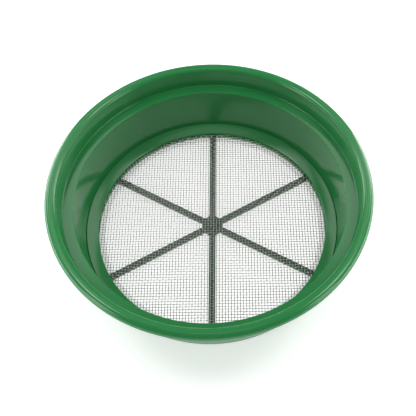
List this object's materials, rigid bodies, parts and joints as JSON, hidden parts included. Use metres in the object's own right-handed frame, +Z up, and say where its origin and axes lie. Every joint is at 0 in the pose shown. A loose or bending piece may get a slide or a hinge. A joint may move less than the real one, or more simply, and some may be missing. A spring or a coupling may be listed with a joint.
{
  "type": "soil sieve",
  "caption": "Round bucket-top soil sieve: a moulded pan with a rolled rim and a ledge, its floor a woven wire cloth over a six-armed support, held down by a ring.",
  "frame": {"origin": "on the sieve's axis, in the plane it stands on", "axes": "+Z up, out of the open mouth; +X along the lower layer of wires; +Y along the upper layer of wires and one pair of arms"},
  "size_m": [0.3366, 0.3366, 0.087],
  "materials": {
    "pan_green": "injection-moulded green polypropylene, semi-gloss",
    "spider_green": "injection-moulded dark green polypropylene, satin",
    "cloth_steel": "bright drawn steel wire, plain woven",
    "ring_green": "injection-moulded green polypropylene, semi-gloss"
  },
  "bodies": {
    "root": {"pan_body": "pan_green", "support_spider": "spider_green", "warp_wires": "cloth_steel", "weft_wires": "cloth_steel", "retaining_ring": "ring_green"}
  },
  "joints": []
}
